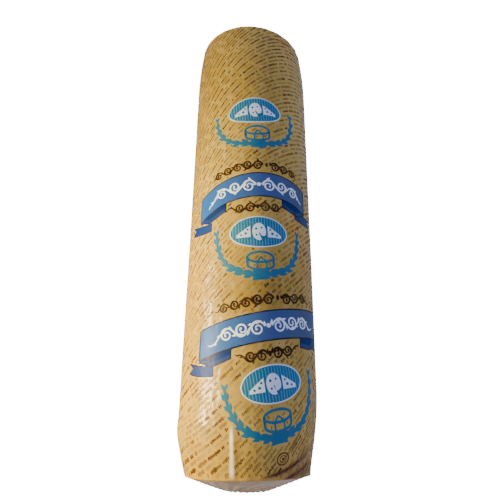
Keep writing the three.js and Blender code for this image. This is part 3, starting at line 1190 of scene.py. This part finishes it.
def rowTree():
    maker = GrowthMaker("tickRows")
    size = {name: maker.input(name) for name in (*rowSizes, *tickShape, "Row Shift")}
    rowCount, tickCount, seed = (maker.input(name, "Int") for name in (*rowCounts, "Seed"))
    artwork = maker.input("Artwork", "Object")
    material = maker.input("Ink", "Material")
    pitch, tickPitch, climb, radius, run, gap, varied = (size[name] for name in (
        "Row Pitch", "Tick Pitch", "Climb", "Log Radius", "Run Length", "Run Gap", "Varied"))

    grid = maker.node(
        "GeometryNodeMeshGrid",
        ("Size X", maker.times(tickPitch, maker.minus(tickCount, 1.0))),
        ("Size Y", maker.times(pitch, maker.minus(rowCount, 1.0))),
        ("Vertices X", tickCount), ("Vertices Y", rowCount))

    # the place along the row and the row's own number decide where the gaps are
    x, y, _ = maker.apart(maker.position())
    rowNumber = maker.math("ROUND", maker.over(y, pitch))
    scrambled = maker.math("SINE", maker.times(maker.plus(rowNumber, seed), rowScramble[0]))
    rowStart = maker.math("FRACT", maker.times(scrambled, rowScramble[1]))
    shortRun = maker.math("FRACT", maker.plus(maker.over(x, run), rowStart))
    longRun = maker.math("FRACT", maker.plus(maker.over(x, maker.times(run, longBreaks["length"])),
                                             maker.times(rowStart, longBreaks["start"])))
    gapped = maker.either(maker.less(shortRun, gap), maker.less(longRun, maker.times(gap, longBreaks["gap"])))
    thinned = maker.node("GeometryNodeDeleteGeometry", ("Geometry", grid.outputs["Mesh"]),
                         ("Selection", gapped), domain="POINT")
    turned = maker.node(
        "GeometryNodeTransform", ("Geometry", thinned.outputs[0]),
        ("Rotation", maker.vector(0.0, 0.0, climb)),
        ("Translation", maker.vector(0.0, size["Row Shift"], size["Lift"])))

    # the rows bow where the film was pulled
    u, t, z = maker.apart(maker.position())
    around = maker.over(u, radius)
    area = maker.times(radius, radius)
    rise = maker.minus(1.0, maker.math("COSINE", around))
    drop = maker.times(rise, area, maker.plus(size["Bow"], maker.times(size["Bow Growth"], t)))
    # and turn the other way towards the near rim
    twice = maker.minus(1.0, maker.math("COSINE", maker.times(around, 2.0)))
    nearness = maker.over(maker.minus(size["End Bow From"], t), size["End Bow Reach"])
    nearness = maker.math("POWER", maker.clamped(nearness, 0.0, 1.2), 2.0)
    turnBack = maker.times(twice, maker.times(area, 0.25), maker.times(size["End Bow"], nearness))
    bowedT = maker.plus(maker.minus(t, drop), turnBack)
    bowed = maker.vector(u, bowedT, z)

    # nothing past the seam or the rims, and nothing on the artwork
    art = maker.node("GeometryNodeObjectInfo", ("Object", artwork))
    near = maker.node("GeometryNodeProximity", (0, art.outputs["Geometry"]), ("Sample Position", bowed),
                      target_element="FACES")
    outside = maker.either(
        maker.more(maker.math("ABSOLUTE", u), maker.times(radius, math.pi)),
        maker.less(bowedT, size["Near Stop"]),
        maker.more(bowedT, size["Far Stop"]),
        maker.less(near.outputs["Distance"], size["Clear Of Artwork"]),
    )
    kept = maker.node("GeometryNodeDeleteGeometry", ("Geometry", turned.outputs[0]),
                      ("Selection", outside), domain="POINT")

    # ticks differ in size and lean, and are wider to the left and further along
    tick = maker.node("GeometryNodeMeshCube", ("Size", maker.vector(
        maker.times(size["Tick Half Width"], 2.0), size["Tick Height"], size["Tick Thickness"])))
    change = maker.node("FunctionNodeRandomValue", (0, tickChange["least"]), (1, tickChange["most"]),
                        ("Seed", seed), data_type="FLOAT_VECTOR")
    changeX, changeY, _ = maker.apart(change.outputs[0])
    acrossLog, alongLog, _ = maker.apart(maker.position())
    shrink = maker.minus(1.0, maker.times(alongLog, size["Smaller Along"]))
    onLeft = maker.clamped(maker.times(acrossLog, -1.0), 0.0, tickChange["leftReach"])
    wider = maker.plus(maker.times(onLeft, size["Wider To Left"]),
                       maker.times(maker.math("MAXIMUM", alongLog, 0.0), size["Wider Along"]))
    wideness = maker.times(maker.plus(maker.times(changeX, varied), 1.0),
                           maker.plus(1.0, maker.times(wider, varied)))
    tallness = maker.times(maker.plus(maker.times(changeY, varied), 1.0), shrink)
    lean = maker.times(maker.random(*tickChange["lean"], maker.plus(seed, 7.0)), varied)
    placed = maker.node(
        "GeometryNodeInstanceOnPoints", ("Points", kept.outputs[0]), ("Instance", tick.outputs["Mesh"]),
        ("Rotation", maker.vector(0.0, 0.0, maker.plus(climb, lean))),
        ("Scale", maker.vector(wideness, tallness, 1.0)))
    solid = maker.node("GeometryNodeRealizeInstances", (0, placed.outputs[0]))
    settled = maker.node("GeometryNodeSetPosition", ("Geometry", solid.outputs[0]), ("Position", bowed))
    maker.finish(settled.outputs[0], material)
    return maker


# all that the rows keep clear of: the drawn print, and the painted highlight streak
def joinedArtwork():
    whole = FlatShapes()
    for piece in flatPieces.values():
        whole.add(placesOf(piece.data), [face.vertices for face in piece.data.polygons])
    whole.add(*stroke(bentLine(streakHighlight["way"], 20), streakHighlight["wide"] * streakHighlight["bare"], 0.1))
    return whole.asObject("flatArtwork")


tickRows = rowTree()
artworkFlat = joinedArtwork()
# each piece's ink, the shape it repeats, how far up its rows are shifted, and its seed
rowPieces = {
    "rowsDark": ("rowsDark", tickShape, 0.0, 11),
    "threadsDark": ("rowsDark", threadShape, 0.0, 11),
    "rowsFaded": ("rowsFaded", tickShape, rowsApart / 2, 23),
    "threadsFaded": ("rowsFaded", threadShape, rowsApart / 2, 23),
}
for name, (inkName, shape, shift, seed) in rowPieces.items():
    flatPieces[name] = tickRows.grow(name, {
        **rowSizes, **rowCounts, **shape, "Row Shift": shift, "Seed": seed, "Artwork": artworkFlat,
        "Ink": inkMaterials[inkName]})
bpy.data.objects.remove(artworkFlat)

for piece in flatPieces.values():
    wrapOnLog(piece.data)
    closeAndSmooth(piece, printForm["crispAngle"])
    rideAndReplace(piece)
print("print wrapped")


# Floor, light and camera

floorLook = {"halfSize": 3.0, "colour": (0.92, 0.92, 0.92, 1), "roughness": 0.85, "glow": 16.0}


# A pale floor that glows to the camera alone, so that its glow stays off the log.
def makeFloor():
    half = floorLook["halfSize"]
    material, _, shader = newMaterial("paleFloor")
    shader.inputs["Base Color"].default_value = floorLook["colour"]
    shader.inputs["Roughness"].default_value = floorLook["roughness"]
    shader.inputs["Emission Color"].default_value = (1, 1, 1, 1)
    shader.inputs["Emission Strength"].default_value = floorLook["glow"]
    corners = [(-half, -half, 0), (half, -half, 0), (half, half, 0), (-half, half, 0)]
    floor = meshObject("floor", corners, [(0, 1, 2, 3)], material)
    floor.visible_diffuse = False
    floor.visible_glossy = False


lamps = [
    {"name": "lampLeft", "place": (-0.274, -0.1, 0.175), "aim": (0, -0.06, 0.053), "size": (0.18, 0.1),
     "power": 3.8, "colour": (1, 0.87, 0.39), "onlyShine": False},
    {"name": "windowLeft", "place": (-0.29, -0.095, 0.195), "aim": (0, -0.095, 0.06), "size": (0.23, 0.06),
     "power": 8.0, "colour": (1, 0.8, 0.6), "onlyShine": True},
]


def makeLamp(lamp):
    data = bpy.data.lights.new(lamp["name"], "AREA")
    data.shape = "RECTANGLE"
    data.size, data.size_y = lamp["size"]
    data.energy = lamp["power"]
    data.color = lamp["colour"]
    light = linkedObject(lamp["name"], data)
    light.location = lamp["place"]
    aim = Vector(lamp["aim"]) - Vector(lamp["place"])
    light.rotation_euler = aim.to_track_quat("-Z", "Y").to_euler()
    light.visible_camera = False
    light.visible_diffuse = not lamp["onlyShine"]


# The room is dimmer and warmer on the left, and cooler on the right.
room = {"left": (0.5, 0.42, 0.34, 1), "right": (0.61, 0.69, 1.14, 1), "leftEnds": -0.85, "rightStarts": 0.15,
        "strength": 0.88}


def makeRoom():
    world = bpy.data.worlds.new("room")
    world.use_nodes = True
    maker = NodeMaker(world.node_tree)
    background = maker.tree.nodes["Background"]
    across = maker.apart(maker.place("Generated"))[0]
    across = maker.spread(across, room["leftEnds"], room["rightStarts"], 0, 1)
    maker.join(maker.blend(across, room["left"], room["right"]), background.inputs["Color"])
    background.inputs["Strength"].default_value = room["strength"]
    bpy.context.scene.world = world


camera = {"lens": 32.4, "sensor": 36.0, "y": -0.167, "above": 0.3809, "tilt": 21.6, "roll": 0.49}


def makeCamera():
    data = bpy.data.cameras.new("camera")
    data.lens = camera["lens"]
    data.sensor_width = camera["sensor"]
    data.clip_start = 0.01
    body = linkedObject("camera", data)
    body.location = (0, camera["y"], axisHeight * metre + camera["above"])
    body.rotation_mode = "XYZ"
    body.rotation_euler = (math.radians(camera["tilt"]), 0, 0)
    body.rotation_euler.rotate_axis("Z", math.radians(camera["roll"]))
    bpy.context.scene.camera = body


makeFloor()
for lamp in lamps:
    makeLamp(lamp)
makeRoom()
makeCamera()

print("scene ready")
